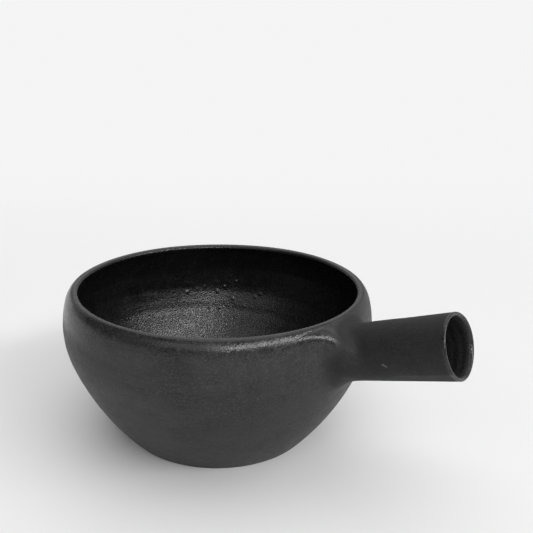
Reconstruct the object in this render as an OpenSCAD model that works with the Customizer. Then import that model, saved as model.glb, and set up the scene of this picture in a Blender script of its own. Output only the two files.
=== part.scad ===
// Single-handle donabe: an open stoneware bowl with an incurved rim and one hollow side handle.
// Millimetres, +Z up. The origin is the middle of the foot, and the handle points along +X.

/* [Bowl] */
// Widest outside diameter of the bowl
bowl_d = 190; // [165:1:215]
// Height from the foot to the crest of the rim
bowl_h = 95.5; // [84:0.5:115]
// Height of the rim's crest above the widest part
shoulder_h = 21.5; // [19:0.5:24]
// Distance that the clear mouth lies in from the widest part
shoulder_in = 9.5; // [8.5:0.25:12.5]
// Radius of the outside at the widest part, seen in section
belly_r = 56.5; // [48:0.5:66]
// Angle below the widest part at which the belly runs into the lower wall
belly_low = 21; // [15:1:27]
// Angle above the widest part at which the belly runs into the shoulder
belly_high = 15; // [12:1:18]
// Thickness of the wall
wall_t = 5; // [4:0.1:6.5]
// Thickness of the rounded rim
rim_t = 5; // [4:0.1:6]

/* [Foot] */
// Outside diameter of the flat ring that the bowl stands on
foot_d = 112; // [100:1:124]
// Width of that ring
foot_ring_w = 10; // [6:0.5:16]
// Radius of the foot's outside edge
foot_edge_r = 2; // [1:0.1:4]
// Depth of the hollow under the foot, at its middle
hollow_h = 1.8; // [0.8:0.1:3]
// Thickness of the floor above the foot's plane
floor_t = 7.5; // [5.5:0.1:10]
// Radius that joins the floor to the wall inside
heel_r = 36; // [24:1:46]

/* [Handle] */
// Upward slope of the handle in degrees
handle_tilt = 17.4; // [12:0.2:21]
// Height of the handle's axis above the widest part, where it crosses the bowl's widest radius
handle_rise = 0; // [-6:0.5:2]
// Length from the bowl's widest radius to the handle's mouth
handle_l = 64.5; // [50:0.5:90]
// Outside diameter at the handle's mouth
handle_mouth_d = 36.5; // [32:0.5:42]
// Outside diameter where the handle's axis crosses the bowl's widest radius
handle_root_d = 31.8; // [28:0.2:34]
// Thickness of the handle's wall
handle_t = 2.9; // [2.2:0.1:4]

/* [Joint] */
// Thickness of the bed of slip under the handle's root
slip_t = 0.8; // [0.5:0.1:1.5]
// Reach of the worked clay over the bowl, beside the handle
fillet_reach = 17; // [10:0.5:24]
// Reach of the worked clay over the shoulder, above the handle
fillet_top_reach = 4.5; // [3:0.1:6]
// Reach of the worked clay over the belly, below the handle
fillet_low_reach = 9; // [6:0.5:14]
// Run of the worked clay along the handle, beside it
fillet_run = 13; // [8:0.5:20]
// Run of the worked clay along the handle, above it
fillet_top_run = 10; // [5:0.5:16]
// Run of the worked clay along the handle, below it
fillet_low_run = 18; // [10:0.5:24]

/* [Hidden] */
clay = [0.23, 0.23, 0.24];
damp_clay = [0.2, 0.2, 0.21];
// Angle of an arc that one straight step may span
arc_step = 3;
// Cross-sections round the fillet, and steps across each one
fillet_ribs = 48;
fillet_steps = 7;
// Depth to which the fillet's edges and back are sunk before they are cut to their seats
fillet_sink = 0.5;
fillet_back = 1.5;
// Length of rim that the fillet leaves bare below the crest
crest_clear = 1.2;
// Halvings that find where a line along the handle meets the bowl
seam_halvings = 24;
$fn = 288;

function dir(a) = [cos(a), sin(a)];
function angle_of(v) = atan2(v[1], v[0]);
function unit(v) = v / norm(v);
function mix(a, b, share) = a + (b - a) * share;

// The circle that touches circle (c, r) in direction a and passes through p, as [centre, radius]
function touching(c, r, a, p) =
    let (v = p - c)
    let (k = (r * r - v * v) / (2 * (r - v * dir(a))))
    [c + k * dir(a), r - k];

// An arc as points, without its first one
function arc(c, r, from, to) =
    let (steps = max(2, ceil(abs(to - from) / arc_step)))
    [for (i = [1:steps]) c + r * dir(mix(from, to, i / steps))];

// Circles of the bowl's section: the foot's edge, lower wall, belly, shoulder and rim outside
foot_c = [foot_d / 2, foot_edge_r];
rim_r = rim_t / 2;
rim_c = [bowl_d / 2 - shoulder_in + rim_r, bowl_h - rim_r];
belly_h = bowl_h - shoulder_h;
belly_c = [bowl_d / 2 - belly_r, belly_h];
wall = touching(belly_c, belly_r - foot_edge_r, -belly_low, foot_c);
wall_c = wall[0];
wall_r = wall[1] + foot_edge_r;
shoulder = touching(belly_c, belly_r - rim_r, belly_high, rim_c);
shoulder_c = shoulder[0];
shoulder_r = shoulder[1] + rim_r;
foot_to = angle_of(foot_c - wall_c);
shoulder_to = angle_of(rim_c - shoulder_c);

// Circles inside: the shoulder, which runs from the widest part to the rim, the belly, wall and heel
in_belly_r = belly_r - wall_t;
in_shoulder = touching(belly_c, in_belly_r + rim_r, 0, rim_c);
in_shoulder_c = in_shoulder[0];
in_shoulder_r = in_shoulder[1] - rim_r;
in_shoulder_to = angle_of(rim_c - in_shoulder_c);
in_wall_r = wall_r - wall_t;
heel_z = floor_t + heel_r;
heel_c = [wall_c[0] + sqrt(pow(in_wall_r - heel_r, 2) - pow(heel_z - wall_c[1], 2)), heel_z];
heel_to = angle_of(heel_c - wall_c);

// The hollow under the foot is a shallow dome
hollow_w = foot_d / 2 - foot_ring_w;
hollow_r = (hollow_w * hollow_w + hollow_h * hollow_h) / (2 * hollow_h);
hollow_c = [0, hollow_h - hollow_r];

// The outside from the foot to the rim's shoulder, moved out by grow
function outside(grow) = concat(
    [[foot_d / 2, -grow]],
    arc(foot_c, foot_edge_r + grow, -90, foot_to),
    arc(wall_c, wall_r + grow, foot_to, -belly_low),
    arc(belly_c, belly_r + grow, -belly_low, belly_high),
    arc(shoulder_c, shoulder_r + grow, belly_high, shoulder_to));

inside = concat(
    arc(in_shoulder_c, in_shoulder_r, in_shoulder_to, 0),
    arc(belly_c, in_belly_r, 0, -belly_low),
    arc(wall_c, in_wall_r, -belly_low, heel_to),
    arc(heel_c, heel_r, heel_to, -90));

// The bowl's outside as a full solid, moved out by grow
module bowl_mass(grow = 0) {
    rotate_extrude()
        polygon(concat(
            [[0, -grow]],
            outside(grow),
            arc(rim_c, rim_r + grow, shoulder_to, 90),
            [[0, bowl_h + grow]]));
}

// The handle's own line: z runs from the bowl's widest radius to the mouth
handle_o = [bowl_d / 2, 0, belly_h + handle_rise];
handle_axis = [cos(handle_tilt), 0, sin(handle_tilt)];
handle_up = [-sin(handle_tilt), 0, cos(handle_tilt)];
handle_flare = atan((handle_mouth_d - handle_root_d) / 2 / handle_l);
// The root starts this far inside the bowl's widest radius, before it is coped
root_in = handle_root_d;
lip_r = handle_t / 2;
lip_z = handle_l - lip_r;
lip_c = [handle_r(lip_z) - lip_r / cos(handle_flare), lip_z];

function handle_r(z) = mix(handle_root_d, handle_mouth_d, z / handle_l) / 2;

module on_handle_axis() {
    translate(handle_o)
        rotate([0, 90 - handle_tilt, 0])
            children();
}

module handle_tube() {
    on_handle_axis()
        rotate_extrude()
            polygon(concat(
                [[handle_r(-root_in), -root_in]],
                [lip_c + lip_r * dir(-handle_flare)],
                arc(lip_c, lip_r, -handle_flare, 180 - handle_flare),
                [[handle_r(-root_in) - handle_t / cos(handle_flare), -root_in]]));
}

module handle_mass() {
    on_handle_axis()
        rotate_extrude()
            polygon([
                [0, -root_in],
                [handle_r(-root_in), -root_in],
                [handle_r(handle_l), handle_l],
                [0, handle_l]]);
}

// A point on the handle's outside: angle a from the level, z along the handle, sunk inwards
function spoke(a) = cos(a) * [0, 1, 0] + sin(a) * handle_up;
function on_handle(a, z, sink = 0) = handle_o + z * handle_axis + (handle_r(z) - sink) * spoke(a);

// How far a point is clear of the bowl's outside, and the way straight out of the bowl there
function in_section(p) = [norm([p[0], p[1]]), p[2]];
function nearest_circle(q) =
    let (a = angle_of(q - belly_c))
    a < -belly_low ? [wall_c, wall_r]
        : a < belly_high ? [belly_c, belly_r]
        : angle_of(q - shoulder_c) < shoulder_to ? [shoulder_c, shoulder_r]
        : [rim_c, rim_r];
function clear_of_bowl(p) =
    let (q = in_section(p), k = nearest_circle(q))
    norm(q - k[0]) - k[1];
function out_of_bowl(p) =
    let (q = in_section(p), n = unit(q - nearest_circle(q)[0]))
    [n[0] * p[0] / q[0], n[0] * p[1] / q[0], n[1]];
function onto_bowl(p, sink) = p - (clear_of_bowl(p) + sink) * out_of_bowl(p);
// Length of shoulder and rim left between a point on the bowl and the rim's crest
function room_to_crest(p) =
    let (left = shoulder_to - angle_of(in_section(p) - shoulder_c))
    (left * shoulder_r + (90 - shoulder_to) * rim_r) * PI / 180;

// Where the handle's outside meets the bowl at angle a, found by halving
function seam_z(a, low, high, halvings) =
    let (mid = (low + high) / 2)
    halvings == 0 ? mid
        : clear_of_bowl(on_handle(a, mid)) > 0 ? seam_z(a, low, mid, halvings - 1)
        : seam_z(a, mid, high, halvings - 1);

// The point at a share of the curve that leaves a towards b and arrives at c from b
function curve_point(a, b, c, share) = mix(mix(a, b, share), mix(b, c, share), share);

// A size that differs beside, above and below the handle, at angle a
function round_handle(a, beside, top, low) = mix(beside, sin(a) > 0 ? top : low, pow(sin(a), 2));

// One cross-section of the fillet: a curve from the bowl to the handle, and a point behind the seam
function fillet_rib(a) =
    let (z = seam_z(a, -root_in, handle_l, seam_halvings))
    let (seam = on_handle(a, z), out = out_of_bowl(seam))
    let (away = unit(spoke(a) - (spoke(a) * out) * out))
    let (wanted = round_handle(a, fillet_reach, fillet_top_reach, fillet_low_reach))
    let (reach = sin(a) > 0 ? min(wanted, (room_to_crest(seam) - crest_clear) / sin(a)) : wanted)
    let (low = onto_bowl(seam + reach * away, fillet_sink))
    let (run = round_handle(a, fillet_run, fillet_top_run, fillet_low_run))
    let (high = on_handle(a, z + run, fillet_sink))
    concat(
        [for (i = [0:fillet_steps]) curve_point(low, seam, high, i / fillet_steps)],
        [seam - fillet_back * (out + spoke(a))]);

module fillet_ring() {
    ribs = [for (i = [0:fillet_ribs - 1]) fillet_rib(i * 360 / fillet_ribs)];
    n = fillet_steps + 2;
    corner = function(i, j) (i % fillet_ribs) * n + j % n;
    polyhedron(
        points = [for (rib = ribs) each rib],
        faces = [for (i = [0:fillet_ribs - 1]) for (j = [0:n - 1]) each [
            [corner(i, j), corner(i, j + 1), corner(i + 1, j)],
            [corner(i + 1, j), corner(i, j + 1), corner(i + 1, j + 1)]]]);
}

module bowl() {
    color(clay)
        rotate_extrude()
            polygon(concat(
                [[0, hollow_h]],
                arc(hollow_c, hollow_r, 90, angle_of([hollow_w, 0] - hollow_c)),
                outside(0),
                arc(rim_c, rim_r, shoulder_to, in_shoulder_to + 180),
                inside,
                [[0, floor_t]]));
}

// The root is coped to the bowl, one bed of slip away
module handle() {
    color(clay)
        difference() {
            handle_tube();
            bowl_mass(slip_t);
        }
}

module luting_slip() {
    color(damp_clay)
        difference() {
            intersection() {
                handle_tube();
                bowl_mass(slip_t);
            }
            bowl_mass();
        }
}

module joint_fillet() {
    color(clay)
        difference() {
            fillet_ring();
            bowl_mass();
            handle_mass();
        }
}

bowl();
handle();
luting_slip();
joint_fillet();
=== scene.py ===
import bpy
import numpy as np
from mathutils import Matrix, Vector


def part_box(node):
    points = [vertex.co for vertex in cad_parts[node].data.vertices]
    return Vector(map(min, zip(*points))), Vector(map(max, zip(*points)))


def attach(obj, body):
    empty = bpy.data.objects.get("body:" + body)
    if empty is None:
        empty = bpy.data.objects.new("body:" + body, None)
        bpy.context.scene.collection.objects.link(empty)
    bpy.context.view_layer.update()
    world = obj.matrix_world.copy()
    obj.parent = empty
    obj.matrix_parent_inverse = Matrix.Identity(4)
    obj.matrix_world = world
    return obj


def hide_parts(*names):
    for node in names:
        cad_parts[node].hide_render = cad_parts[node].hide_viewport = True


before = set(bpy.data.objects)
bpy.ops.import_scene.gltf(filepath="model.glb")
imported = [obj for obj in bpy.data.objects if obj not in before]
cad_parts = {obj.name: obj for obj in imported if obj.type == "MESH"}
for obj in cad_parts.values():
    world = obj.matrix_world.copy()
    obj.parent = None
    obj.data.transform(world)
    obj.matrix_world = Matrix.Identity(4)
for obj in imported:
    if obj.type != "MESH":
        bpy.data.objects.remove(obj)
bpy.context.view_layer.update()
print("frame loaded:", ", ".join(sorted(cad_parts)))

mm = 0.001  # shapes are worked out in millimetres and degrees, and meshes are written in metres
farAway = 1000  # millimetres, well past anything on the pot


# Shared shapes

def heading(angle):
    # the unit vector at an angle, in the section's plane of radius and height
    return np.array((np.cos(np.radians(angle)), np.sin(np.radians(angle))))


def angleOf(vector):
    # the angle of a vector in that plane
    return np.degrees(np.arctan2(vector[..., 1], vector[..., 0]))


def wrapped(angle, half):
    # an angle brought between minus half a turn and half a turn
    return np.mod(angle + half, 2 * half) - half


def ease(value, low, high):
    # 0 up to low, 1 from high on, and the quintic 6t^5 - 15t^4 + 10t^3 between them
    t = np.clip((value - low) / (high - low), 0, 1)
    return t**3 * (t * (6 * t - 15) + 10)


def halved(low, high, past):
    # the place between low and high from which past is true, found by halving
    for _ in range(40):
        mid = (low + high) / 2
        beyond = past(mid)
        low, high = np.where(beyond, low, mid), np.where(beyond, mid, high)
    return (low + high) / 2


def drift(turn, run, waves, seed):
    # slow unevenness: seeded sines, each with whole waves round the turn and a wavelength along the run
    draw = np.random.default_rng(seed)
    total = 0
    for wavesRound, wavelength, height in waves:
        start = draw.uniform(0, 2 * np.pi)
        total = total + height * np.sin(wavesRound * turn + 2 * np.pi * run / wavelength + start)
    return total


# how unevenly finger rings run: whole waves round, wavelength along and size of each slow wave
ringDrift = {
    "phase": ((1, 90, 0.7), (2, 61, 0.5), (0, 47, 0.8)),
    "depth": ((1, 55, 0.3), (3, 38, 0.25), (0, 24, 0.3)),
    "sharpness": 0.25,
}


def ringMarks(turn, run, pitch, depth, seed):
    # a spiral of finger rings: a wave along the run that climbs one pitch a turn, with uneven depth and pitch
    phase = 2 * np.pi * run / pitch + turn + drift(turn, run, ringDrift["phase"], seed)
    depths = 1 + drift(turn, run, ringDrift["depth"], seed + 1)
    return depth * depths * (np.sin(phase) + ringDrift["sharpness"] * np.cos(2 * phase))


def strokeLine(across, along, start, end, width):
    # a scratch: 1 on the straight line from start to end, falling off as a bell curve to either side
    start, way = np.array(start), np.subtract(end, start)
    spot = np.stack((across - start[0], along - start[1]), -1)
    place = np.clip(spot @ way / (way @ way), 0, 1)
    return np.exp(-(np.linalg.norm(spot - place[..., None] * way, axis=-1) / width)**2)


def touchingCircle(centre, radius, angle, point):
    # the circle that touches circle (centre, radius) in direction angle and passes through point
    gap = point - centre
    shift = (radius**2 - gap @ gap) / (2 * (radius - gap @ heading(angle)))
    return centre + shift * heading(angle), radius - shift


def wheelField(turn, run):
    # where the clay lay on the wheel: the turn's cosine and sine, and the run along the surface in metres
    turn, run = np.broadcast_arrays(turn, run)
    return np.stack((np.cos(turn), np.sin(turn), run * mm), -1).reshape(-1, 3)


def gridQuads(rows, columns, closed):
    # a grid's quads, row by row; the columns always close round, and the rows too if closed
    i, j = np.meshgrid(np.arange(rows if closed else rows - 1), np.arange(columns), indexing="ij")
    down, over = (i + 1) % rows, (j + 1) % columns
    corners = (i * columns + j, i * columns + over, down * columns + over, down * columns + j)
    return np.stack(corners, -1).reshape(-1, 4)


def putMesh(name, points, quads, fans, fields):
    # points in millimetres become a smooth closed mesh, and fields become its point attributes
    mesh = bpy.data.meshes.new(name)
    mesh.vertices.add(len(points))
    mesh.vertices.foreach_set("co", (points * mm).astype(np.float32).ravel())
    corners = np.concatenate((quads.ravel(), fans.ravel())).astype(np.int32)
    sizes = np.concatenate((np.full(len(quads), 4), np.full(len(fans), 3)))
    mesh.loops.add(len(corners))
    mesh.loops.foreach_set("vertex_index", corners)
    mesh.polygons.add(len(sizes))
    mesh.polygons.foreach_set("loop_start", (np.cumsum(sizes) - sizes).astype(np.int32))
    mesh.polygons.foreach_set("use_smooth", np.ones(len(sizes), bool))
    mesh.update(calc_edges=True)
    for field, values in fields.items():
        vector = values.ndim == 2
        layer = mesh.attributes.new(field, "FLOAT_VECTOR" if vector else "FLOAT", "POINT")
        layer.data.foreach_set("vector" if vector else "value", values.astype(np.float32).ravel())
    piece = bpy.data.objects.new(name, mesh)
    bpy.context.scene.collection.objects.link(piece)
    print(name, "has", 2 * len(quads) + len(fans), "triangles")
    return piece


# The camera stands where the photograph was taken from

view = {"azimuth": 37.6, "away": 0.4697, "height": 0.2565, "yaw": 3.56, "pitch": 17.69, "roll": 0.87,
        "focalPixels": 800, "imagePixels": 533, "sensor": 36}


def setCamera():
    # stands away from the bowl's axis at the azimuth, turns by yaw and pitch, then rolls about its own line
    azimuth, pitch, roll = (np.radians(view[k]) for k in ("azimuth", "pitch", "roll"))
    turn = np.radians(view["yaw"]) - azimuth
    ahead = Vector((np.sin(turn) * np.cos(pitch), np.cos(turn) * np.cos(pitch), -np.sin(pitch)))
    level = Vector((np.cos(turn), -np.sin(turn), 0))
    upright = level.cross(ahead)
    right = level * np.cos(roll) + upright * np.sin(roll)
    up = upright * np.cos(roll) - level * np.sin(roll)
    lens = bpy.data.cameras.new("view")
    lens.sensor_width = view["sensor"]
    lens.lens = view["focalPixels"] / view["imagePixels"] * view["sensor"]
    camera = bpy.data.objects.new("view", lens)
    camera.matrix_world = Matrix((right, up, -ahead)).transposed().to_4x4()
    camera.matrix_world.translation = Vector(
        (np.sin(azimuth) * view["away"], -np.cos(azimuth) * view["away"], view["height"]))
    bpy.context.scene.collection.objects.link(camera)
    bpy.context.scene.camera = camera


setCamera()
print("camera set")


# The bowl's section, as circles that run into each other

bowlLow, bowlHigh = (np.array(corner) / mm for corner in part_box("bowl"))
bowl = {
    "radius": round((bowlHigh[1] - bowlLow[1]) / 2, 1), "height": round(bowlHigh[2], 1),
    "shoulderHeight": 21.5, "shoulderIn": 9.5, "bellyCurve": 56.5, "bellyLow": -21, "bellyHigh": 15,
    "wall": 5, "rim": 5, "lipCurve": 4.5, "lipTurn": 112, "lipEdge": 1.8,
    "footRadius": 56, "footRing": 10, "footEdge": 2, "hollow": 1.8, "floor": 7.5, "heel": 36,
    # rows of the mesh on each stretch of the section, and columns, closer together where the grog shows
    "rows": {"hollow": 8, "footEdge": 4, "wall": 38, "belly": 29, "shoulder": 14, "rim": 5, "crest": 4,
             "lip": 7, "innerShoulder": 16, "innerBelly": 28, "innerWall": 36, "heel": 22, "floor": 12},
    "columns": 440, "denseMiddle": 118, "denseHalf": 40, "denseShare": 0.42,
    # how far the wall leans out of round and the rim rises, the heights over which they grow, and the
    # angles either side of the handle over which they do
    "outOfRound": 0.3, "leanHeights": (4, 70), "rimWave": 0.2, "waveHeights": (74, 96),
    "handleSector": (48, 100),
    # coarse and fine finger rings: pitch, depth and seed, and the runs or heights over which they fade in
    "insideRings": ((15, 0.075, 11), (4.1, 0.01, 21)), "outsideRings": ((9.5, 0.022, 31), (3.7, 0.006, 41)),
    "insideFade": (2, 9), "outsideFade": (3, 12), "footFade": (3, 10), "middleFade": (0, 8),
    # grains of grog that show through the mouth, by azimuth and height, and the range of the scattered ones
    "grog": ((143, 60), (134.5, 63), (128.5, 59.5), (121, 54.7), (119.5, 67), (125, 63), (107.5, 59),
             (132.5, 48.5), (127.5, 48), (110, 56.5), (88.5, 55)),
    "grogHeight": 0.75, "grogSpread": 0.8, "shownSizes": (0.6, 1), "looseSizes": (0.2, 0.7),
    "looseGrog": 60, "looseHeights": (12, 84), "grogSeed": 5,
    # faint scratches on the outside: azimuth and height of both ends, and how pale
    "scratches": (((-58, 71.6), (-51, 72.2), 0.06), ((-47, 63), (-43.5, 61.8), 0.04),
                  ((-71, 46), (-69, 48.5), 0.04)),
    "scratchWidth": 0.5,
    # how far from the handle's line the clay was worked smooth, and the run over the rim where that fades
    "workedReach": (62, 84), "workedFade": (-4, 2),
    # how dull the wall and the inside are, and where the wall turns polished, the far side begins and the
    # inside's dullness grows
    "wallDull": 0.8, "insideDull": 0.1, "polishHeights": (74, 87), "farSide": (-8, 8),
    "insideDullFade": (1, 4),
    # where the inside begins, the heights over which its glinting grains thin out, and how many are left
    "withinFade": (0.5, 3), "glintHeights": (46, 56), "glintLeft": 0.3,
}

rimRadius = bowl["rim"] / 2
rimCentre = np.array((bowl["radius"] - bowl["shoulderIn"] + rimRadius, bowl["height"] - rimRadius))
bellyCentre = np.array((bowl["radius"] - bowl["bellyCurve"], bowl["height"] - bowl["shoulderHeight"]))
footCentre = np.array((bowl["footRadius"], bowl["footEdge"]))
wallCentre, wallCurve = touchingCircle(
    bellyCentre, bowl["bellyCurve"] - bowl["footEdge"], bowl["bellyLow"], footCentre)
wallCurve += bowl["footEdge"]
shoulderCentre, shoulderCurve = touchingCircle(
    bellyCentre, bowl["bellyCurve"] - rimRadius, bowl["bellyHigh"], rimCentre)
shoulderCurve += rimRadius
footTo = angleOf(footCentre - wallCentre)
shoulderTo = angleOf(rimCentre - shoulderCentre)
innerBelly = bowl["bellyCurve"] - bowl["wall"]
innerWall = wallCurve - bowl["wall"]
crestCentre = rimCentre + (rimRadius - bowl["lipCurve"]) * heading(90)
lipCentre = crestCentre + (bowl["lipCurve"] - bowl["lipEdge"]) * heading(bowl["lipTurn"])
innerShoulderCentre, innerShoulderCurve = touchingCircle(
    bellyCentre, innerBelly + bowl["lipEdge"], 0, lipCentre)
innerShoulderCurve -= bowl["lipEdge"]
innerShoulderTo = angleOf(lipCentre - innerShoulderCentre)
heelHeight = bowl["floor"] + bowl["heel"]
heelCentre = np.array((
    wallCentre[0] + np.sqrt((innerWall - bowl["heel"])**2 - (heelHeight - wallCentre[1])**2), heelHeight))
heelTo = angleOf(heelCentre - wallCentre)
hollowWidth = bowl["footRadius"] - bowl["footRing"]
hollowCurve = (hollowWidth**2 + bowl["hollow"]**2) / (2 * bowl["hollow"])
hollowCentre = np.array((0, bowl["hollow"] - hollowCurve))


def arcRun(centre, curve, start, end, steps, facing):
    # points and normals along an arc; the clay lies inside the circle where facing is 1, outside where -1
    spokes = heading(np.linspace(start, end, steps + 1)).T
    return centre + curve * spokes, facing * spokes


def bowlSection():
    # the outline from the underside's middle up the outside, over the rim and down to the floor's middle:
    # points, normals, and the run along it, which is below 0 outside the rim's crest and above 0 inside
    rows = bowl["rows"]
    floorLine = np.linspace((heelCentre[0], bowl["floor"]), (0, bowl["floor"]), rows["floor"] + 1)
    runs = [
        arcRun(hollowCentre, hollowCurve, 90, angleOf((hollowWidth, 0) - hollowCentre), rows["hollow"], -1),
        arcRun(footCentre, bowl["footEdge"], -90, footTo, rows["footEdge"], 1),
        arcRun(wallCentre, wallCurve, footTo, bowl["bellyLow"], rows["wall"], 1),
        arcRun(bellyCentre, bowl["bellyCurve"], bowl["bellyLow"], bowl["bellyHigh"], rows["belly"], 1),
        arcRun(shoulderCentre, shoulderCurve, bowl["bellyHigh"], shoulderTo, rows["shoulder"], 1),
        arcRun(rimCentre, rimRadius, shoulderTo, 90, rows["rim"], 1),
        arcRun(crestCentre, bowl["lipCurve"], 90, bowl["lipTurn"], rows["crest"], 1),
        arcRun(lipCentre, bowl["lipEdge"], bowl["lipTurn"], innerShoulderTo + 180, rows["lip"], 1),
        arcRun(innerShoulderCentre, innerShoulderCurve, innerShoulderTo, 0, rows["innerShoulder"], -1),
        arcRun(bellyCentre, innerBelly, 0, bowl["bellyLow"], rows["innerBelly"], -1),
        arcRun(wallCentre, innerWall, bowl["bellyLow"], heelTo, rows["innerWall"], -1),
        arcRun(heelCentre, bowl["heel"], heelTo, -90, rows["heel"], -1),
        (floorLine, np.tile((0, 1), (len(floorLine), 1))),
    ]
    points, normals = (np.concatenate(part) for part in zip(*runs))
    steps = np.linalg.norm(np.diff(points, axis=0), axis=1)
    apart = np.concatenate(((True,), steps > 1e-6))
    run = np.concatenate(((0,), np.cumsum(steps)))
    run -= run[np.argmax(points[:, 1])]
    return points[apart], normals[apart], run[apart]


# The handle's own line runs from the bowl's widest radius to the mouth

handle = {
    "tilt": 17.4, "length": 64.5, "mouth": 36.5, "root": 31.8, "wall": 2.9, "slip": 0.8,
    "lipEdge": 0.9, "lipFlare": 4,
    "columns": 288, "outerRows": 150, "lipRows": 9, "innerRows": 80,
    # finger rings: pitch, depth and seed; all marks but the nick fade in past the joint
    "rings": (6.2, 0.015, 51), "insideRings": (5.4, 0.1, 61), "clearRun": (22, 38),
    "outOfRound": 0.15, "lipWave": 0.15, "waveRun": 16,
    # a flat pared along the underside, with its half angle, and where it starts and is full
    "facetAngle": 228, "facetHalf": 13, "facetStart": 20, "facetFull": 36,
    # a nick in the near side, from and to an angle round and a place along, and how pale its clay is
    "nickFrom": (189, 26.8), "nickTo": (193.5, 28.6), "nickDepth": 0.4, "nickSpread": 0.45, "nickPale": 0.5,
    # how far the worked clay of the joint runs along, and how far before the lip's end the dullness stops
    "workedRun": (10, 26), "lipPolish": (2.5, 0.5), "withinFade": (0.2, 0.9),
}
handleOrigin = np.array((bowl["radius"], 0, bellyCentre[1]))
handleAlong = np.array((np.cos(np.radians(handle["tilt"])), 0, np.sin(np.radians(handle["tilt"]))))
handleUp = np.array((-handleAlong[2], 0, handleAlong[0]))
handleFlare = np.degrees(np.arctan((handle["mouth"] - handle["root"]) / 2 / handle["length"]))


def handleRadius(along):
    # the cone's radius at a place along its line
    return (handle["root"] + (handle["mouth"] - handle["root"]) * along / handle["length"]) / 2


def spoke(angle):
    # the way straight out from the handle's line: 0 is the far side, 90 the top and 180 the near side
    angle = np.radians(angle)[..., None]
    return np.cos(angle) * np.array((0, 1, 0)) + np.sin(angle) * handleUp


def onHandle(angle, along, radius):
    # the point at an angle round, a place along and a radius from the handle's line
    return handleOrigin + along[..., None] * handleAlong + radius[..., None] * spoke(angle)


def angleRound(points):
    # the angle at which points lie round the handle's line
    beside = points - handleOrigin
    return np.degrees(np.arctan2(beside @ handleUp, beside[..., 1]))


def bowlGap(points):
    # how far points lie outside the bowl's outer circles, and the way straight out of the bowl there
    section = np.stack((np.hypot(points[..., 0], points[..., 1]), points[..., 2]), -1)
    onBelly = angleOf(section - bellyCentre)[..., None]
    onShoulder = angleOf(section - shoulderCentre)[..., None]
    choice = [onBelly < bowl["bellyLow"], onBelly < bowl["bellyHigh"], onShoulder < shoulderTo]
    centre = np.select(choice, (wallCentre, bellyCentre, shoulderCentre), rimCentre)
    curve = np.select(choice, (wallCurve, bowl["bellyCurve"], shoulderCurve), rimRadius)[..., 0]
    away = section - centre
    size = np.linalg.norm(away, axis=-1)
    away = away / size[..., None]
    level = points[..., :2] / section[..., :1] * away[..., :1]
    return size - curve, np.concatenate((level, away[..., 1:]), -1)


def handleGap(points):
    # how far points lie outside the handle's cone, and the way straight out of it there
    beside = points - handleOrigin
    along = beside @ handleAlong
    beside = beside - along[..., None] * handleAlong
    size = np.linalg.norm(beside, axis=-1)
    slope = np.radians(handleFlare)
    way = beside / size[..., None] * np.cos(slope) - handleAlong * np.sin(slope)
    return (size - handleRadius(along)) * np.cos(slope), way


def seamAlong(angle, inset, clear):
    # where the handle's surface, sunk by inset, first lies clear of the bowl
    def outside(along):
        return bowlGap(onHandle(angle, along, handleRadius(along) - inset))[0] > clear

    return halved(np.full(angle.shape, -handle["root"]), np.full(angle.shape, handle["length"]), outside)


# The thrown bowl, with the marks that the wheel and the grog leave

def jointShare(points):
    # 1 on the outside near the handle's root, where the clay was worked smooth, and 0 away from it
    beside = points - handleOrigin
    reach = np.linalg.norm(beside - (beside @ handleAlong)[..., None] * handleAlong, axis=-1)
    return (1 - ease(reach, *bowl["workedReach"])) * (points[..., 0] > 0)


def wallDullness(points):
    # the outside is dull up the wall and beyond the handle, and polished on the rest of shoulder and rim
    farSide = jointShare(points) * ease(points[..., 1], *bowl["farSide"])
    return bowl["wallDull"] * (1 - ease(points[..., 2], *bowl["polishHeights"]) * (1 - farSide))


def bowlTurn():
    # the columns' angles, closer together round one sector of the inside, where the grog shows
    share = np.linspace(0, 1, bowl["columns"], endpoint=False)
    dense, half = bowl["denseShare"] / 2, bowl["denseHalf"]
    knots = np.interp(share, (0, 0.5 - dense, 0.5 + dense, 1), (-180, -half, half, 180))
    return np.radians(bowl["denseMiddle"] + knots)


def roundAxis(section, turn):
    # carries the section's radius and height round the bowl's axis
    radius, height = section[..., 0], section[..., 1]
    return np.stack((radius * np.cos(turn), radius * np.sin(turn), height + 0 * turn), -1)


def grogBumps(turn, run, radius, height):
    # grains stand up as bell-shaped bumps: those that show, then scattered ones inside and outside by turns
    draw = np.random.default_rng(bowl["grogSeed"])
    shown, loose = len(bowl["grog"]), bowl["looseGrog"]
    scattered = np.stack((draw.uniform(0, 360, loose), draw.uniform(*bowl["looseHeights"], loose)), -1)
    total = 0
    for k, (azimuth, level) in enumerate(np.concatenate((bowl["grog"], scattered))):
        inside = k < shown or k % 2 == 0
        otherSide = np.where((run > 0) == inside, 0, farAway)
        arc = radius * wrapped(turn - np.radians(azimuth), np.pi)
        near = np.hypot(np.hypot(arc, height - level), otherSide)
        size = draw.uniform(*bowl["shownSizes"] if k < shown else bowl["looseSizes"])
        total = total + bowl["grogHeight"] * size * np.exp(-(near / (bowl["grogSpread"] * size**0.3))**2)
    return total


def scratchMarks(turn, run, radius, height):
    # how pale the scratches make the outside: the sum of their lines, laid out on the widest ring
    across = np.where(run < 0, radius * wrapped(turn, np.pi), farAway)
    total = 0
    for start, end, paleness in bowl["scratches"]:
        ends = [(np.radians(azimuth) * bowl["radius"], level) for azimuth, level in (start, end)]
        total = total + paleness * strokeLine(across, height + 0 * turn, *ends, bowl["scratchWidth"])
    return total


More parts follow.
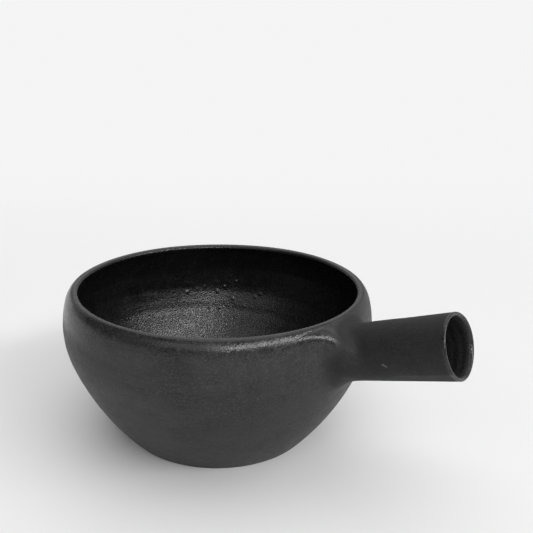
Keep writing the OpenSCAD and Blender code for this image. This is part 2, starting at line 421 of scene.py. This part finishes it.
def bowlSway(turn, height):
    # two and three waves round push the wall in and out, and two and five lift the rim, away from the handle
    free = ease(np.abs(wrapped(turn, np.pi)), *np.radians(bowl["handleSector"]))
    lean = bowl["outOfRound"] * ease(height, *bowl["leanHeights"]) * free
    lean = lean * (np.cos(2 * turn - 0.9) + 0.4 * np.cos(3 * turn + 1.2))
    lift = bowl["rimWave"] * ease(height, *bowl["waveHeights"]) * free
    lift = lift * (np.sin(2 * turn + 0.5) + 0.5 * np.sin(5 * turn))
    return np.stack((lean * np.cos(turn), lean * np.sin(turn), lift), -1)


def withMiddles(field, under, floor):
    # a field on the grid, followed by its values in the middle of the underside and of the floor
    return np.concatenate((field.ravel(), (under, floor)))


def makeBowl():
    # the section is turned about the axis, and each point moves along its normal by the marks
    points, normals, run = bowlSection()
    turn = bowlTurn()[None, :]
    ring, normal, run = points[1:-1, None], normals[1:-1, None], run[1:-1, None]
    radius, height = ring[..., 0], ring[..., 1]
    plain = roundAxis(ring, turn)
    worked = jointShare(plain) * ease(-run, *bowl["workedFade"])
    inside = ease(run, *bowl["insideFade"])
    outside = ease(-run, *bowl["outsideFade"]) * ease(height, *bowl["footFade"]) * (1 - worked)
    moved = 0
    for share, rings in ((inside, bowl["insideRings"]), (outside, bowl["outsideRings"])):
        for pitch, depth, seed in rings:
            moved = moved + share * ringMarks(turn, run, pitch, depth, seed)
    moved = moved * ease(radius, *bowl["middleFade"])
    moved = moved + grogBumps(turn, run, radius, height) * (1 - worked)
    grown = plain + moved[..., None] * roundAxis(normal, turn) + bowlSway(turn, height)
    # fans close the middle of the underside and of the floor
    rows, columns = grown.shape[:2]
    everything = np.concatenate((grown.reshape(-1, 3), ((0, 0, points[0, 1]), (0, 0, points[-1, 1]))))
    first, over = np.arange(columns), (np.arange(columns) + 1) % columns
    last = (rows - 1) * columns
    under = np.stack((np.full(columns, rows * columns), over, first), -1)
    floor = np.stack((np.full(columns, rows * columns + 1), last + first, last + over), -1)
    # the rim and the shoulder were polished, and grains stand clear of the clay mostly low inside
    dull = wallDullness(plain) * (run < 0) + bowl["insideDull"] * ease(run, *bowl["insideDullFade"])
    # inside, the colour darkens towards the darkest colour: partly a darker glaze, partly painted shade in
    # the bowl's hollow
    within = withMiddles(ease(run, *bowl["withinFade"]) + 0 * turn, 0, 1)
    glints = 1 - (1 - bowl["glintLeft"]) * ease(everything[:, 2], *bowl["glintHeights"])
    fields = {
        "wheel": np.concatenate((wheelField(turn, run), np.zeros((2, 3)))),
        "worked": withMiddles(worked, 0, 0), "within": within,
        "dull": withMiddles(dull, 1, bowl["insideDull"]),
        "bare": withMiddles(scratchMarks(turn, run, radius, height), 0, 0),
        "shadedMatte": np.zeros(len(everything)), "glints": within * glints,
    }
    fans = np.concatenate((under, floor))
    return putMesh("thrownBowl", everything, gridQuads(rows, columns, False), fans, fields)


# The hollow handle, thrown by itself, pared underneath and coped to the bowl

noFans = np.zeros((0, 3), int)


def handleOutline(angle):
    # rows run along the outside from the root, round the lip and back along the inside: places along, radii,
    # and facing, which is 1 outside, goes to -1 round the lip as a cosine and stays there inside
    inset = handle["wall"] / np.cos(np.radians(handleFlare))
    outerRoot, innerRoot = seamAlong(angle, 0, handle["slip"]), seamAlong(angle, inset, handle["slip"])
    # the lip turns over a tight outer edge and flares softly inside
    edge = handle["lipEdge"]
    lipSide, lipRise = heading(np.linspace(0, 180, 2 * handle["lipRows"] + 1))
    lipAlong = handle["length"] - np.where(lipSide > 0, edge, handle["lipFlare"]) * (1 - lipRise)
    lipRadius = handleRadius(lipAlong) - edge + np.where(lipSide > 0, edge, inset - edge) * lipSide
    share = np.linspace(0, 1, handle["outerRows"], endpoint=False)[:, None]
    outerAlong = outerRoot + (lipAlong[0] - outerRoot) * share
    back = np.linspace(0, 1, handle["innerRows"] + 1)[1:, None]
    innerAlong = lipAlong[-1] + (innerRoot - lipAlong[-1]) * back
    wide = np.ones_like(angle)
    along = np.concatenate((outerAlong, lipAlong[:, None] * wide, innerAlong))
    innerRadius = handleRadius(innerAlong) - inset
    radius = np.concatenate((handleRadius(outerAlong), lipRadius[:, None] * wide, innerRadius))
    facing = np.concatenate((np.ones(len(share)), lipSide, -np.ones(len(back))))[:, None]
    return along, radius, facing


def paredShare(angle, along, facing):
    # the flat along the underside: a chord in place of the arc, which widens along and runs out over the lip
    off = wrapped(angle - handle["facetAngle"], 180)
    half = handle["facetHalf"] * ease(along, handle["facetStart"], handle["facetFull"])
    flat = np.where(np.abs(off) < half, np.cos(np.radians(half)) / np.cos(np.radians(off)), 1)
    return np.where(facing > 0, 1 + (flat - 1) * np.clip(facing * 1.5, 0, 1), 1)


def nickMark(angle, along, facing):
    # one short nick, cut slantwise: a line on the outside, laid out at the radius where it starts
    degree = np.radians(1) * handleRadius(handle["nickFrom"][1])
    ends = [(degree * place[0], place[1]) for place in (handle["nickFrom"], handle["nickTo"])]
    return strokeLine(degree * angle + 0 * along, along, *ends, handle["nickSpread"]) * (facing > 0.5)


def makeHandle():
    # the outline is carried round the handle's line, and each point moves in or out by the marks
    angle = np.linspace(0, 360, handle["columns"], endpoint=False)[None, :]
    turn = np.radians(angle)
    along, radius, facing = handleOutline(angle)
    rings = ringMarks(turn, along, *handle["rings"]) * np.clip(facing, 0, 1)
    rings = rings + ringMarks(turn, along, *handle["insideRings"]) * np.clip(-facing, 0, 1)
    lean = handle["outOfRound"] * (np.cos(2 * turn + 0.6) + 0.5 * np.cos(3 * turn - 0.4))
    nick = nickMark(angle, along, facing)
    radius = radius * paredShare(angle, along, facing)
    radius = radius + ease(along, *handle["clearRun"]) * (lean + rings * facing) - handle["nickDepth"] * nick
    # the lip isn't quite square to the line
    lipShare = ease(along, handle["length"] - handle["waveRun"], handle["length"])
    along = along + handle["lipWave"] * lipShare * (np.sin(2 * turn + 0.8) + 0.4 * np.sin(3 * turn))
    points = onHandle(angle + 0 * along, along, radius)
    rows, columns = along.shape
    dull = 1 - ease(along, *(handle["length"] - np.array(handle["lipPolish"])))
    within = np.tile(ease(-facing, *handle["withinFade"]), (1, columns)).ravel()
    # inside the handle the colour darkens as in the bowl, partly glaze and partly painted shade; outside,
    # painted shade darkens it together with its dullness, up to the polished lip
    fields = {
        "wheel": wheelField(turn, along),
        "worked": np.where(facing > 0, 1 - ease(along, *handle["workedRun"]), 0).ravel(),
        "within": within, "dull": dull.ravel(), "bare": handle["nickPale"] * nick.ravel(),
        "shadedMatte": dull.ravel(), "glints": within,
    }
    quads = gridQuads(rows, columns, True)[:, ::-1]
    return putMesh("hollowHandle", points.reshape(-1, 3), quads, noFans, fields)


# The soft clay worked round the joint

# Four numbers in a row are for the far side of the handle, its top, its near side and its underside: how far
# the piece covers the bowl and the handle, how far it blends over them, and how far the handle's matte clay,
# darkened with painted shade, reaches. The strand is a roll of clay smoothed in between the shoulder and the
# handle's near side, given by the three points of its bent line.
joint = {
    "cover": (16, 10, 46, 12), "coverRun": (13, 11, 24, 15), "reach": (13, 9, 24, 9), "run": (11, 9, 11, 13),
    "shadedMatteReach": (5, 8, 16, 4), "shadedMatteFade": (0.4, 1), "crest": 22.6,
    "strand": ((75, -39, 87.3), (90, -23, 93.5), (97, -12, 74)), "strandRadius": 7, "strandBlend": 8,
    "wiped": 1.3, "lift": 0.006, "edgeSink": 0.03, "bowlEdge": 0.15, "handleEdge": 0.3, "back": 1.2,
    # columns round, rows across, how closely rows gather at the seam on each side, and steps of each walk
    "columns": 360, "steps": 72, "bowlGather": 1.6, "handleGather": 2,
    "strandWalk": 8, "surfaceWalk": 14, "bowlWalk": 6,
}


def roundJoint(angle, values):
    # mixes four values by the squares of the angle's cosine and sine, each on its own side
    c, s = np.cos(np.radians(angle)), np.sin(np.radians(angle))
    return sum(value * np.clip(side, 0, 1)**2 for value, side in zip(values, (c, s, -c, -s)))


def belowCrest(angle, values):
    # the mixed value, held back softly before the rim's crest: inverse fourth powers of it and the room add
    room = joint["crest"] / np.clip(np.sin(np.radians(angle)), 0.1, 1) - handle["root"] / 2
    return (roundJoint(angle, values)**-4 + room**-4)**-0.25


def merged(first, second, firstWay, secondWay):
    # the smaller of two gaps, lowered by a sixth of the cube of how near they are together, and its slope
    near = np.clip(1 - np.abs(first - second), 0, 1)
    share = np.where(first < second, 1 - near**2 / 2, near**2 / 2)[..., None]
    return np.minimum(first, second) - near**3 / 6, share * firstWay + (1 - share) * secondWay


def strandGap(points):
    # how far points lie outside the strand, whose line is a curve of second degree led by its three points
    start, knee, end = np.array(joint["strand"])
    chord, bend = end - start, 2 * (start - 2 * knee + end)
    share = np.clip((points - start) @ chord / (chord @ chord), 0, 1)
    for _ in range(joint["strandWalk"]):
        t = share[..., None]
        off = (1 - t)**2 * start + 2 * t * (1 - t) * knee + t**2 * end - points
        speed = 2 * ((1 - t) * (knee - start) + t * (end - knee))
        step = np.sum(off * speed, -1) / (np.sum(speed**2, -1) + np.clip(off @ bend, 0, None))
        share = np.clip(share - step, 0, 1)
    size = np.linalg.norm(off, axis=-1)
    return size - joint["strandRadius"], -off / size[..., None]


def ontoJoint(points):
    # the strand is merged with the bowl and both with the handle, and points walk down the slope onto that
    blend = joint["strandBlend"]
    for _ in range(joint["surfaceWalk"]):
        bowlClear, bowlWay = bowlGap(points)
        strandClear, strandWay = strandGap(points)
        clear, way = merged(bowlClear / blend, strandClear / blend, bowlWay, strandWay)
        handleClear, handleWay = handleGap(points)
        angle = angleRound(points)
        reach, run = belowCrest(angle, joint["reach"]), roundJoint(angle, joint["run"])
        height, slope = merged(
            clear * blend / run, handleClear / reach, way / run[..., None], handleWay / reach[..., None])
        points = points - (height / np.sum(slope**2, -1))[..., None] * slope
    return points, slope / np.linalg.norm(slope, axis=-1)[..., None]


def overBowl(seam, away, distance):
    # walks from the seam over the bowl's surface
    points = seam + distance[..., None] * away
    for _ in range(joint["bowlWalk"]):
        gap, straight = bowlGap(points)
        points = points - gap[..., None] * straight
    return points


def makeJoint():
    # for each angle round the handle a curve runs from the bowl to the handle over the merged surface
    angle = np.linspace(0, 360, joint["columns"], endpoint=False)
    way = spoke(angle)
    cover = belowCrest(angle, joint["cover"])
    seamZ = seamAlong(angle, 0, 0)
    seam = onHandle(angle, seamZ, handleRadius(seamZ))
    out = bowlGap(seam)[1]
    away = way - np.sum(way * out, -1)[:, None] * out
    away = away / np.linalg.norm(away, axis=-1)[:, None]

    def covered(distance):
        return handleGap(overBowl(seam, away, distance))[0] > cover

    span = halved(np.zeros_like(angle), 2.5 * cover, covered)
    t = np.linspace(0, 1, joint["steps"] + 1)[:, None]
    base = overBowl(seam, away, span * (1 - t)**joint["bowlGather"])
    gripZ = seamAlong(angle, 0, roundJoint(angle, joint["coverRun"]))
    along = seamZ + (gripZ - seamZ) * t**joint["handleGather"]
    grip = onHandle(angle + 0 * t, along, handleRadius(along))
    mixed, straight = ontoJoint(base + grip - seam)
    # the strand was wiped level with the rim: what rises into the wiped band is pressed together within it
    over = np.clip(mixed[..., 2] - bowl["height"] + joint["wiped"], 0, None)
    mixed[..., 2] += joint["wiped"] * (1 - np.exp(-over / joint["wiped"])) - over
    # a hair of clay keeps the piece clear of the surfaces it lies on, and its edges sink into them
    settled = ease(t, 0, joint["bowlEdge"]) * ease(1 - t, 0, joint["handleEdge"])
    mixed = mixed + (joint["lift"] * settled - joint["edgeSink"] * (1 - settled))[..., None] * straight
    # three rows within the clay close the piece behind
    sunk = joint["back"] / 2
    upper = mixed[-1] - sunk * way
    behind = seam - joint["back"] * (out + way)
    lower = mixed[0] - sunk * straight[0]
    points = np.concatenate((mixed, upper[None], behind[None], lower[None]))
    along = np.concatenate((along, along[-1:], along[-1:], along[:1]))
    rows, columns = along.shape
    # near the handle the clay is as matte and dull as the handle, with the same painted shade in its colour,
    # and elsewhere as dull as the bowl
    reach = roundJoint(angleRound(points), joint["shadedMatteReach"])
    shadedMatte = 1 - ease(handleGap(points)[0] / reach, *joint["shadedMatteFade"])
    none = np.zeros(rows * columns)
    fields = {
        "wheel": wheelField(np.radians(angle), along), "worked": none + 1, "within": none,
        "dull": np.maximum(wallDullness(points), shadedMatte).ravel(), "bare": none, "shadedMatte": shadedMatte.ravel(),
        "glints": none,
    }
    quads = gridQuads(rows, columns, True)[:, ::-1]
    return putMesh("jointFillet", points.reshape(-1, 3), quads, noFans, fields)


thrownBowl = makeBowl()
hollowHandle = makeHandle()
jointFillet = makeJoint()


# Dark stoneware: charcoal clay with cloudy tones, pale grit, turning marks and a dull sheen

clayLook = {
    "dark": (0.005, 0.005, 0.0051, 1), "pale": (0.02, 0.02, 0.0203, 1), "grit": (0.036, 0.036, 0.0358, 1),
    # the darkest colour stands for a darker glaze and painted shade inside the hollows, and for painted shade
    # on the handle; bare is the pale clay under scratches
    "glazeAndShade": (0.0018, 0.0018, 0.0018, 1), "bare": (0.2, 0.2, 0.198, 1),
    # how far the colour darkens inside, partly a darker glaze and partly painted shade in the hollows, and on
    # the handle and its root, where the darkening is painted shade
    "insideGlazeShadeShare": 0.8, "shadedMatteShare": 0.5,
    # each noise: size in millimetres and detail
    "cloud": (30, 3), "patch": (6, 3), "grain": (2.2, 2), "sand": (0.95, 1), "glint": (0.85, 0),
    "turned": (1.6, 3), "stroke": (1.3, 2),
    # turning marks are drawn out round the wheel, and brush strokes along a slant
    "turnedScale": (0.012, 0.012, 1), "strokeScale": (1, 0.12, 0.5), "strokeTurn": (0, 35, 30),
    "toneShares": {"cloud": 0.4, "patch": 0.22, "streak": 0.23, "grain": 0.15},
    "toneBand": (0.41, 0.59), "gritBand": (0.52, 0.8),
    "roughShares": {"patch": 0.5, "grain": 0.5}, "roughBand": (0.35, 0.65), "roughRange": (0.17, 0.3),
    "roughAdded": {"dull": 0.34, "glint": 0.8, "shadedMatte": 0.1}, "sheen": 0.42,
    # heights of the bumps in millimetres, each on the one before, and how much coarser the sand is inside
    "bumps": {"patch": 0.035, "streak": 0.02, "brushed": 0.07, "grain": 0.08, "sandy": 0.1, "glint": 0.17},
    "innerSand": 1.5,
}


def noiseOf(tree, vector, size, detail):
    # even noise whose blotches are about size millimetres across
    made = tree.nodes.new("ShaderNodeTexNoise")
    made.inputs["Scale"].default_value = 1 / (size * mm)
    made.inputs["Detail"].default_value = detail
    tree.links.new(vector, made.inputs["Vector"])
    return made.outputs["Fac"]


def spread(tree, value, low, high, toLow, toHigh):
    # a value between low and high is carried to toLow and toHigh, and held there beyond them
    made = tree.nodes.new("ShaderNodeMapRange")
    for name, number in zip(("From Min", "From Max", "To Min", "To Max"), (low, high, toLow, toHigh)):
        made.inputs[name].default_value = number
    tree.links.new(value, made.inputs["Value"])
    return made.outputs["Result"]


def sums(tree, operation, first, second):
    # one step of arithmetic on two sockets, or on a socket and a number
    made = tree.nodes.new("ShaderNodeMath")
    made.operation = operation
    for socket, value in zip(made.inputs, (first, second)):
        if isinstance(value, (int, float)):
            socket.default_value = value
        else:
            tree.links.new(value, socket)
    return made.outputs[0]


def weighed(tree, marks, shares, total=None):
    # the sum of the named marks, each times its share, added to a total if there is one
    for name, share in shares.items():
        part = sums(tree, "MULTIPLY", marks[name], share)
        total = part if total is None else sums(tree, "ADD", total, part)
    return total


def tint(tree, share, first, second):
    # mixes two colours, each a socket or four numbers, by a share
    made = tree.nodes.new("ShaderNodeMix")
    made.data_type = "RGBA"
    tree.links.new(share, made.inputs["Factor"])
    for socket, value in zip((made.inputs[6], made.inputs[7]), (first, second)):
        if isinstance(value, tuple):
            socket.default_value = value
        else:
            tree.links.new(value, socket)
    return made.outputs[2]


def stretched(tree, vector, scale, turn):
    # squeezes and turns a coordinate, so that even noise on it comes out as streaks
    made = tree.nodes.new("ShaderNodeMapping")
    made.inputs["Scale"].default_value = scale
    made.inputs["Rotation"].default_value = np.radians(turn)
    tree.links.new(vector, made.inputs["Vector"])
    return made.outputs["Vector"]


def raised(tree, height, size, below):
    # bump whose full height is size millimetres, on top of an earlier bump
    made = tree.nodes.new("ShaderNodeBump")
    made.inputs["Distance"].default_value = size * mm
    tree.links.new(height, made.inputs["Height"])
    if below is not None:
        tree.links.new(below, made.inputs["Normal"])
    return made.outputs["Normal"]


def attributeOf(tree, name, socket):
    # a field that the meshes carry
    made = tree.nodes.new("ShaderNodeAttribute")
    made.attribute_name = name
    return made.outputs[socket]


def clayMarks(tree):
    # what colour, gloss and bump share: the meshes' fields, noise of several sizes, and marks made of both
    place = tree.nodes.new("ShaderNodeTexCoord").outputs["Object"]
    wheel = attributeOf(tree, "wheel", "Vector")
    fields = ("worked", "within", "dull", "bare", "shadedMatte", "glints")
    marks = {name: attributeOf(tree, name, "Fac") for name in fields}
    for name in ("cloud", "patch", "grain", "sand"):
        marks[name] = noiseOf(tree, place, *clayLook[name])
    # the wheel leaves streaks round the pot, and a brush left strokes where the joint was worked
    turned = noiseOf(tree, stretched(tree, wheel, clayLook["turnedScale"], (0, 0, 0)), *clayLook["turned"])
    slant = stretched(tree, place, clayLook["strokeScale"], clayLook["strokeTurn"])
    marks["brushed"] = sums(tree, "MULTIPLY", noiseOf(tree, slant, *clayLook["stroke"]), marks["worked"])
    unworked = sums(tree, "SUBTRACT", 1, marks["worked"])
    marks["streak"] = sums(tree, "ADD", marks["brushed"], sums(tree, "MULTIPLY", turned, unworked))
    # inside, the sand is coarser and grains glint one by one
    coarser = spread(tree, marks["within"], 0, 1, 1, clayLook["innerSand"])
    marks["sandy"] = sums(tree, "MULTIPLY", marks["sand"], coarser)
    grains = sums(tree, "SUBTRACT", noiseOf(tree, place, *clayLook["glint"]), 0.5)
    marks["glint"] = sums(tree, "MULTIPLY", grains, marks["glints"])
    return marks


def clayColour(tree, marks):
    # cloudy tones and pale grit; darker inside, partly glaze and partly painted shade, and painted shade on
    # the handle and its root; pale where it is scratched
    tone = weighed(tree, marks, clayLook["toneShares"])
    colour = tint(tree, spread(tree, tone, *clayLook["toneBand"], 0, 1), clayLook["dark"], clayLook["pale"])
    colour = tint(tree, spread(tree, marks["sand"], *clayLook["gritBand"], 0, 1), colour, clayLook["grit"])
    glazeAndShade = sums(tree, "MULTIPLY", marks["within"], clayLook["insideGlazeShadeShare"])
    shadedMatte = sums(tree, "MULTIPLY", marks["shadedMatte"], clayLook["shadedMatteShare"])
    colour = tint(tree, sums(tree, "MAXIMUM", glazeAndShade, shadedMatte), colour, clayLook["glazeAndShade"])
    return tint(tree, marks["bare"], colour, clayLook["bare"])


def makeClay(name):
    made = bpy.data.materials.new(name)
    made.use_nodes = True
    tree = made.node_tree
    shader = tree.nodes["Principled BSDF"]
    marks = clayMarks(tree)
    tree.links.new(clayColour(tree, marks), shader.inputs["Base Color"])
    uneven = weighed(tree, marks, clayLook["roughShares"])
    rough = spread(tree, uneven, *clayLook["roughBand"], *clayLook["roughRange"])
    rough = weighed(tree, marks, clayLook["roughAdded"], rough)
    tree.links.new(rough, shader.inputs["Roughness"])
    shader.inputs["Specular IOR Level"].default_value = clayLook["sheen"]
    normal = None
    for mark, size in clayLook["bumps"].items():
        normal = raised(tree, marks[mark], size, normal)
    tree.links.new(normal, shader.inputs["Normal"])
    return made


stoneware = makeClay("darkStoneware")
for piece, node in ((thrownBowl, "bowl"), (hollowHandle, "handle"), (jointFillet, "joint_fillet")):
    piece.data.materials.append(stoneware)
    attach(piece, "root")
    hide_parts(node)
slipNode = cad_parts["luting_slip"]
slipNode.data.materials.clear()
slipNode.data.materials.append(stoneware)
print("clay on all pieces")


# A plain pale floor and soft light

studio = {
    "floorColour": (0.8, 0.8, 0.8, 1), "floorRough": 0.6,
    # in metres: rings of the flat middle, where it ends, the far edge and its height
    "flatRings": (1, 3), "flatRadius": 5, "edgeRadius": 13, "edgeHeight": 1.4, "edgeRings": 12,
    "floorColumns": 96,
    # the pale background's level, and how far off, or how far behind the bowl, it starts and is full
    "farLevel": 0.91, "farOff": (0.4, 1.2), "farBehind": (0, 0.9),
    # the world's level on the camera's left and on its right
    "worldLeft": 0.17, "worldRight": 0.34,
    # the height that all lamps are aimed at
    "aimHeight": 0.06,
    # each sun: turn round from the camera's side to its right, height in degrees, spread and level of light
    "suns": {
        "overhead": (180, 84, 64, 0.32), "backRight": (135, 25, 40, 0.04), "backLeft": (222, 30, 40, 0.03),
        "behind": (180, 38, 40, 0.08),
    },
    # long soft windows: turn, height in degrees, distance, length, width and watts
    "windows": {
        "window": (42, 35, 8.8, 12.8, 1.44, 640), "sideWindow": (-18, 36, 8.8, 9.4, 3.6, 130),
        "rightWindow": (96, 38, 8.8, 4.8, 3.6, 48),
    },
}
cameraTurn = np.radians(view["azimuth"])


def dotWith(tree, vector, way):
    # how far a coordinate lies along a way
    made = tree.nodes.new("ShaderNodeVectorMath")
    made.operation = "DOT_PRODUCT"
    made.inputs[1].default_value = way
    tree.links.new(vector, made.inputs[0])
    return made.outputs["Value"]


def paintFloor():
    made = bpy.data.materials.new("paleFloor")
    made.use_nodes = True
    tree = made.node_tree
    shader = tree.nodes["Principled BSDF"]
    shader.inputs["Base Color"].default_value = studio["floorColour"]
    shader.inputs["Roughness"].default_value = studio["floorRough"]
    # far off, and behind the bowl in reflections too, it shows as an even pale ground that lights nothing
    glow = tree.nodes.new("ShaderNodeEmission")
    glow.inputs["Strength"].default_value = studio["farLevel"]
    rays = tree.nodes.new("ShaderNodeLightPath").outputs
    mirrored = sums(tree, "MAXIMUM", rays["Is Glossy Ray"], rays["Is Transmission Ray"])
    seen = sums(tree, "MAXIMUM", rays["Is Camera Ray"], mirrored)
    place = tree.nodes.new("ShaderNodeTexCoord").outputs["Object"]
    away = tree.nodes.new("ShaderNodeVectorMath")
    away.operation = "LENGTH"
    tree.links.new(place, away.inputs[0])
    behind = dotWith(tree, place, (-np.sin(cameraTurn), np.cos(cameraTurn), 0))
    farOff = spread(tree, away.outputs["Value"], *studio["farOff"], 0, 1)
    farBehind = spread(tree, behind, *studio["farBehind"], 0, 1)
    for ramp in (farOff, farBehind):
        ramp.node.interpolation_type = "SMOOTHERSTEP"
    shown = sums(tree, "MAXIMUM", sums(tree, "MULTIPLY", rays["Is Camera Ray"], farOff),
                 sums(tree, "MULTIPLY", seen, farBehind))
    both = tree.nodes.new("ShaderNodeMixShader")
    tree.links.new(shown, both.inputs["Fac"])
    tree.links.new(shader.outputs["BSDF"], both.inputs[1])
    tree.links.new(glow.outputs["Emission"], both.inputs[2])
    tree.links.new(both.outputs["Shader"], tree.nodes["Material Output"].inputs["Surface"])
    return made


def makeFloor():
    # a wide round floor, flat in the middle and rising gently, as the power 1.5, towards its far edge
    turn = np.linspace(0, 2 * np.pi, studio["floorColumns"], endpoint=False)[None, :]
    rising = np.linspace(studio["flatRadius"], studio["edgeRadius"], studio["edgeRings"])
    radius = np.concatenate((studio["flatRings"], rising))[:, None]
    share = np.clip((radius - studio["flatRadius"]) / (studio["edgeRadius"] - studio["flatRadius"]), 0, 1)
    height = studio["edgeHeight"] * share**1.5
    points = roundAxis(np.stack((radius, height), -1), turn)
    rows, columns = points.shape[:2]
    quads = gridQuads(rows, columns, False)[:, ::-1]
    mesh = bpy.data.meshes.new("floor")
    mesh.from_pydata(points.reshape(-1, 3).tolist(), [], quads.tolist() + [list(range(columns))])
    mesh.polygons.foreach_set("use_smooth", np.ones(len(mesh.polygons), bool))
    mesh.materials.append(paintFloor())
    floor = bpy.data.objects.new("floor", mesh)
    bpy.context.scene.collection.objects.link(floor)


def placeLamp(lamp, turn, height, distance):
    # turned round from the camera's side to its right, raised, and aimed at the bowl
    side, rise = np.radians(view["azimuth"] - 90 + turn), np.radians(height)
    way = Vector((np.cos(side) * np.cos(rise), np.sin(side) * np.cos(rise), np.sin(rise)))
    made = bpy.data.objects.new(lamp.name, lamp)
    made.location = way * distance + Vector((0, 0, studio["aimHeight"]))
    made.rotation_euler = way.to_track_quat("Z", "Y").to_euler()
    bpy.context.scene.collection.objects.link(made)


def setLights():
    # a dim world that brightens from the camera's left to its right, wide suns and long soft windows;
    # a sun of level 1, straight down, shows a white floor as white
    world = bpy.data.worlds.new("studio")
    world.use_nodes = True
    tree = world.node_tree
    sky = tree.nodes["Background"].inputs
    sky["Color"].default_value = (1, 1, 1, 1)
    place = tree.nodes.new("ShaderNodeTexCoord").outputs["Generated"]
    across = dotWith(tree, place, (np.cos(cameraTurn), np.sin(cameraTurn), 0))
    tree.links.new(spread(tree, across, -1, 1, studio["worldLeft"], studio["worldRight"]), sky["Strength"])
    bpy.context.scene.world = world
    for name, (turn, height, wide, level) in studio["suns"].items():
        lamp = bpy.data.lights.new(name, "SUN")
        lamp.energy = np.pi * level
        lamp.angle = np.radians(wide)
        placeLamp(lamp, turn, height, 1)
    for name, (turn, height, distance, length, width, watts) in studio["windows"].items():
        window = bpy.data.lights.new(name, "AREA")
        window.shape = "RECTANGLE"
        window.size, window.size_y = length, width
        window.energy = watts
        placeLamp(window, turn, height, distance)


makeFloor()
setLights()
bpy.context.scene.view_settings.view_transform = "Standard"
print("stage and light set")
